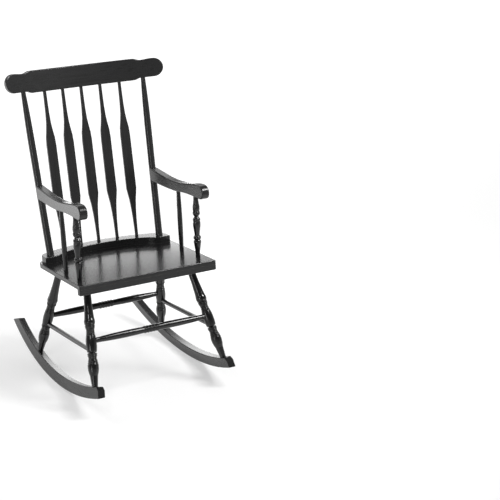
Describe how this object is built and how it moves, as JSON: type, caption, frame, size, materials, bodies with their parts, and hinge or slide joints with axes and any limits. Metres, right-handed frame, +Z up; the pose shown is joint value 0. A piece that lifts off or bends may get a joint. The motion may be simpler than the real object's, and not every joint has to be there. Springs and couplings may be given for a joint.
{
  "type": "slat back rocking chair",
  "caption": "Black painted wooden rocking chair with a tall back of flat tapered slats under an eared crest rail, scooped arms, turned legs and curved rockers.",
  "frame": {"origin": "on the floor, in the middle of the chair's width and of its depth from rocker fronts to rocker tails", "axes": "+Z up, -Y the way a sitter faces, +X to the right of a person looking at the chair's front"},
  "size_m": [0.643, 0.855, 1.1342],
  "materials": {
    "black_painted_wood": "satin black paint, the grain just showing through",
    "fixing_steel": "blackened steel"
  },
  "bodies": {
    "root": {"arm_bolts": "fixing_steel", "arm_left": "black_painted_wood", "arm_post_left": "black_painted_wood", "arm_post_right": "black_painted_wood", "arm_right": "black_painted_wood", "arm_spindle_left": "black_painted_wood", "arm_spindle_right": "black_painted_wood", "back_post_left": "black_painted_wood", "back_post_right": "black_painted_wood", "back_slat_1": "black_painted_wood", "back_slat_2": "black_painted_wood", "back_slat_3": "black_painted_wood", "back_slat_4": "black_painted_wood", "back_slat_5": "black_painted_wood", "crest_rail": "black_painted_wood", "front_stretcher": "black_painted_wood", "leg_front_left": "black_painted_wood", "leg_front_right": "black_painted_wood", "leg_rear_left": "black_painted_wood", "leg_rear_right": "black_painted_wood", "rear_stretcher": "black_painted_wood", "rocker_left": "black_painted_wood", "rocker_right": "black_painted_wood", "seat_back_rail": "black_painted_wood", "seat_front_strip": "black_painted_wood", "seat_panel": "black_painted_wood", "side_stretcher_left": "black_painted_wood", "side_stretcher_right": "black_painted_wood"}
  },
  "joints": []
}
